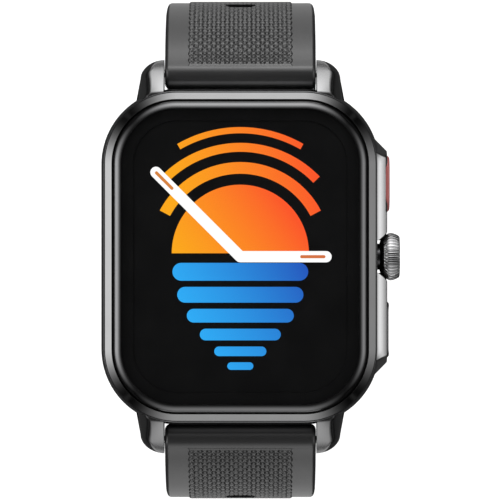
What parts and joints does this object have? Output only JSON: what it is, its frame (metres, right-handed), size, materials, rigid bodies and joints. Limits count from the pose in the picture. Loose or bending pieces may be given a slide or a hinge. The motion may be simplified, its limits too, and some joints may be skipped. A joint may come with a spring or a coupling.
{
  "type": "smartwatch",
  "caption": "Smartwatch with a rounded rectangular case, knurled crown, side buttons and a textured silicone strap that stands open on the table.",
  "frame": {"origin": "on the table, under the case's centre, on the flat underside of the lower strap half's tail", "axes": "+Z out of the dial, +Y towards 12 o'clock, +X towards the crown"},
  "size_m": [0.0437, 0.0751, 0.0718],
  "materials": {
    "case_black": "polished anodised",
    "bezel_polish": "polished",
    "cover_glass": "polished",
    "display": "gloss",
    "seal_black": "matte",
    "flex_amber": "satin",
    "steel": "satin",
    "steel_dark": "satin",
    "board_green": "satin",
    "chip_black": "matte",
    "battery_grey": "satin",
    "foam_white": "matte",
    "plastic_black": "matte",
    "plastic_white": "satin",
    "gold_plate": "polished",
    "back_plastic": "polished",
    "sensor_glass": "polished",
    "led_lens": "gloss",
    "magnet_nickel": "polished",
    "crown_black": "polished anodised",
    "button_red": "satin",
    "button_black": "polished anodised",
    "strap_silicone": "matte",
    "buckle_black": "satin"
  },
  "bodies": {
    "case": {"case_frame": "case_black", "bezel_ring": "bezel_polish", "cover_glass": "cover_glass", "glass_adhesive": "seal_black", "display_panel": "display", "display_flex": "flex_amber", "inner_chassis": "steel", "main_board": "board_green", "board_chips": "chip_black", "shield_can": "steel", "battery": "battery_grey", "battery_pad": "foam_white", "vibration_motor": "steel", "speaker": "plastic_black", "speaker_mesh": "steel_dark", "microphone": "gold_plate", "back_cover": "back_plastic", "back_gasket": "seal_black", "back_screws": "steel", "sensor_window": "sensor_glass", "sensor_board": "board_green", "sensor_leds": "led_lens", "charge_contacts": "gold_plate", "charge_magnets": "magnet_nickel", "side_bracket": "steel", "side_flex": "flex_amber", "button_switches": "steel", "crown_switch": "plastic_black", "crown_tube": "steel"},
    "crown_slider": {"crown_plunger": "plastic_white"},
    "crown": {"crown_stem": "steel", "crown_seals": "seal_black", "crown_clip": "steel", "crown_knob": "crown_black"},
    "upper_button": {"upper_button": "button_red", "upper_button_seal": "seal_black", "upper_button_clip": "steel"},
    "lower_button": {"lower_button": "button_black", "lower_button_seal": "seal_black", "lower_button_clip": "steel"},
    "upper_strap": {"strap_upper": "strap_silicone", "upper_bar_tube": "steel", "upper_bar_spring": "steel", "keeper_fixed": "strap_silicone", "buckle_bar": "steel"},
    "upper_release": {"upper_bar_pin": "steel"},
    "lower_strap": {"strap_lower": "strap_silicone", "lower_bar_tube": "steel", "lower_bar_spring": "steel"},
    "lower_release": {"lower_bar_pin": "steel"},
    "free_keeper": {"keeper_free": "strap_silicone"},
    "buckle": {"buckle_frame": "buckle_black"},
    "tongue": {"buckle_tongue": "buckle_black"}
  },
  "joints": [
    {"name": "crown_press", "type": "slide", "parent": "case", "child": "crown_slider", "axis": [-1, 0, 0], "range_m": [0, 0.00015], "stiffness_N_per_m": 400, "springref_m": -0.0008},
    {"name": "crown_spin", "type": "hinge", "parent": "crown_slider", "child": "crown", "pos_m": [0.0215, 0, 0.06674], "axis": [1, 0, 0], "continuous": true},
    {"name": "upper_button_press", "type": "slide", "parent": "case", "child": "upper_button", "axis": [-1, 0, 0], "range_m": [0, 0.00025], "stiffness_N_per_m": 400, "springref_m": -0.0008},
    {"name": "lower_button_press", "type": "slide", "parent": "case", "child": "lower_button", "axis": [-1, 0, 0], "range_m": [0, 0.00025], "stiffness_N_per_m": 400, "springref_m": -0.0008},
    {"name": "upper_strap_swing", "type": "hinge", "parent": "case", "child": "upper_strap", "pos_m": [0, 0.0269, 0.06564], "axis": [1, 0, 0], "range_deg": [-5, 60]},
    {"name": "lower_strap_swing", "type": "hinge", "parent": "case", "child": "lower_strap", "pos_m": [0, -0.0269, 0.06564], "axis": [-1, 0, 0], "range_deg": [-5, 60]},
    {"name": "upper_bar_release", "type": "slide", "parent": "upper_strap", "child": "upper_release", "axis": [-1, 0, 0], "range_m": [0, 0.0012], "stiffness_N_per_m": 300, "springref_m": -0.0015, "deforming": ["upper_bar_spring"]},
    {"name": "lower_bar_release", "type": "slide", "parent": "lower_strap", "child": "lower_release", "axis": [-1, 0, 0], "range_m": [0, 0.0012], "stiffness_N_per_m": 300, "springref_m": -0.0015, "deforming": ["lower_bar_spring"]},
    {"name": "keeper_slide", "type": "slide", "parent": "upper_strap", "child": "free_keeper", "axis": [0, -0.4226, -0.9063], "range_m": [-0.004, 0.005]},
    {"name": "buckle_swing", "type": "hinge", "parent": "upper_strap", "child": "buckle", "pos_m": [0, 0.01898, 0.0017], "axis": [-1, 0, 0], "range_deg": [0, 130]},
    {"name": "tongue_swing", "type": "hinge", "parent": "buckle", "child": "tongue", "pos_m": [0, 0.01898, 0.0017], "axis": [1, 0, 0], "range_deg": [0, 35]}
  ]
}
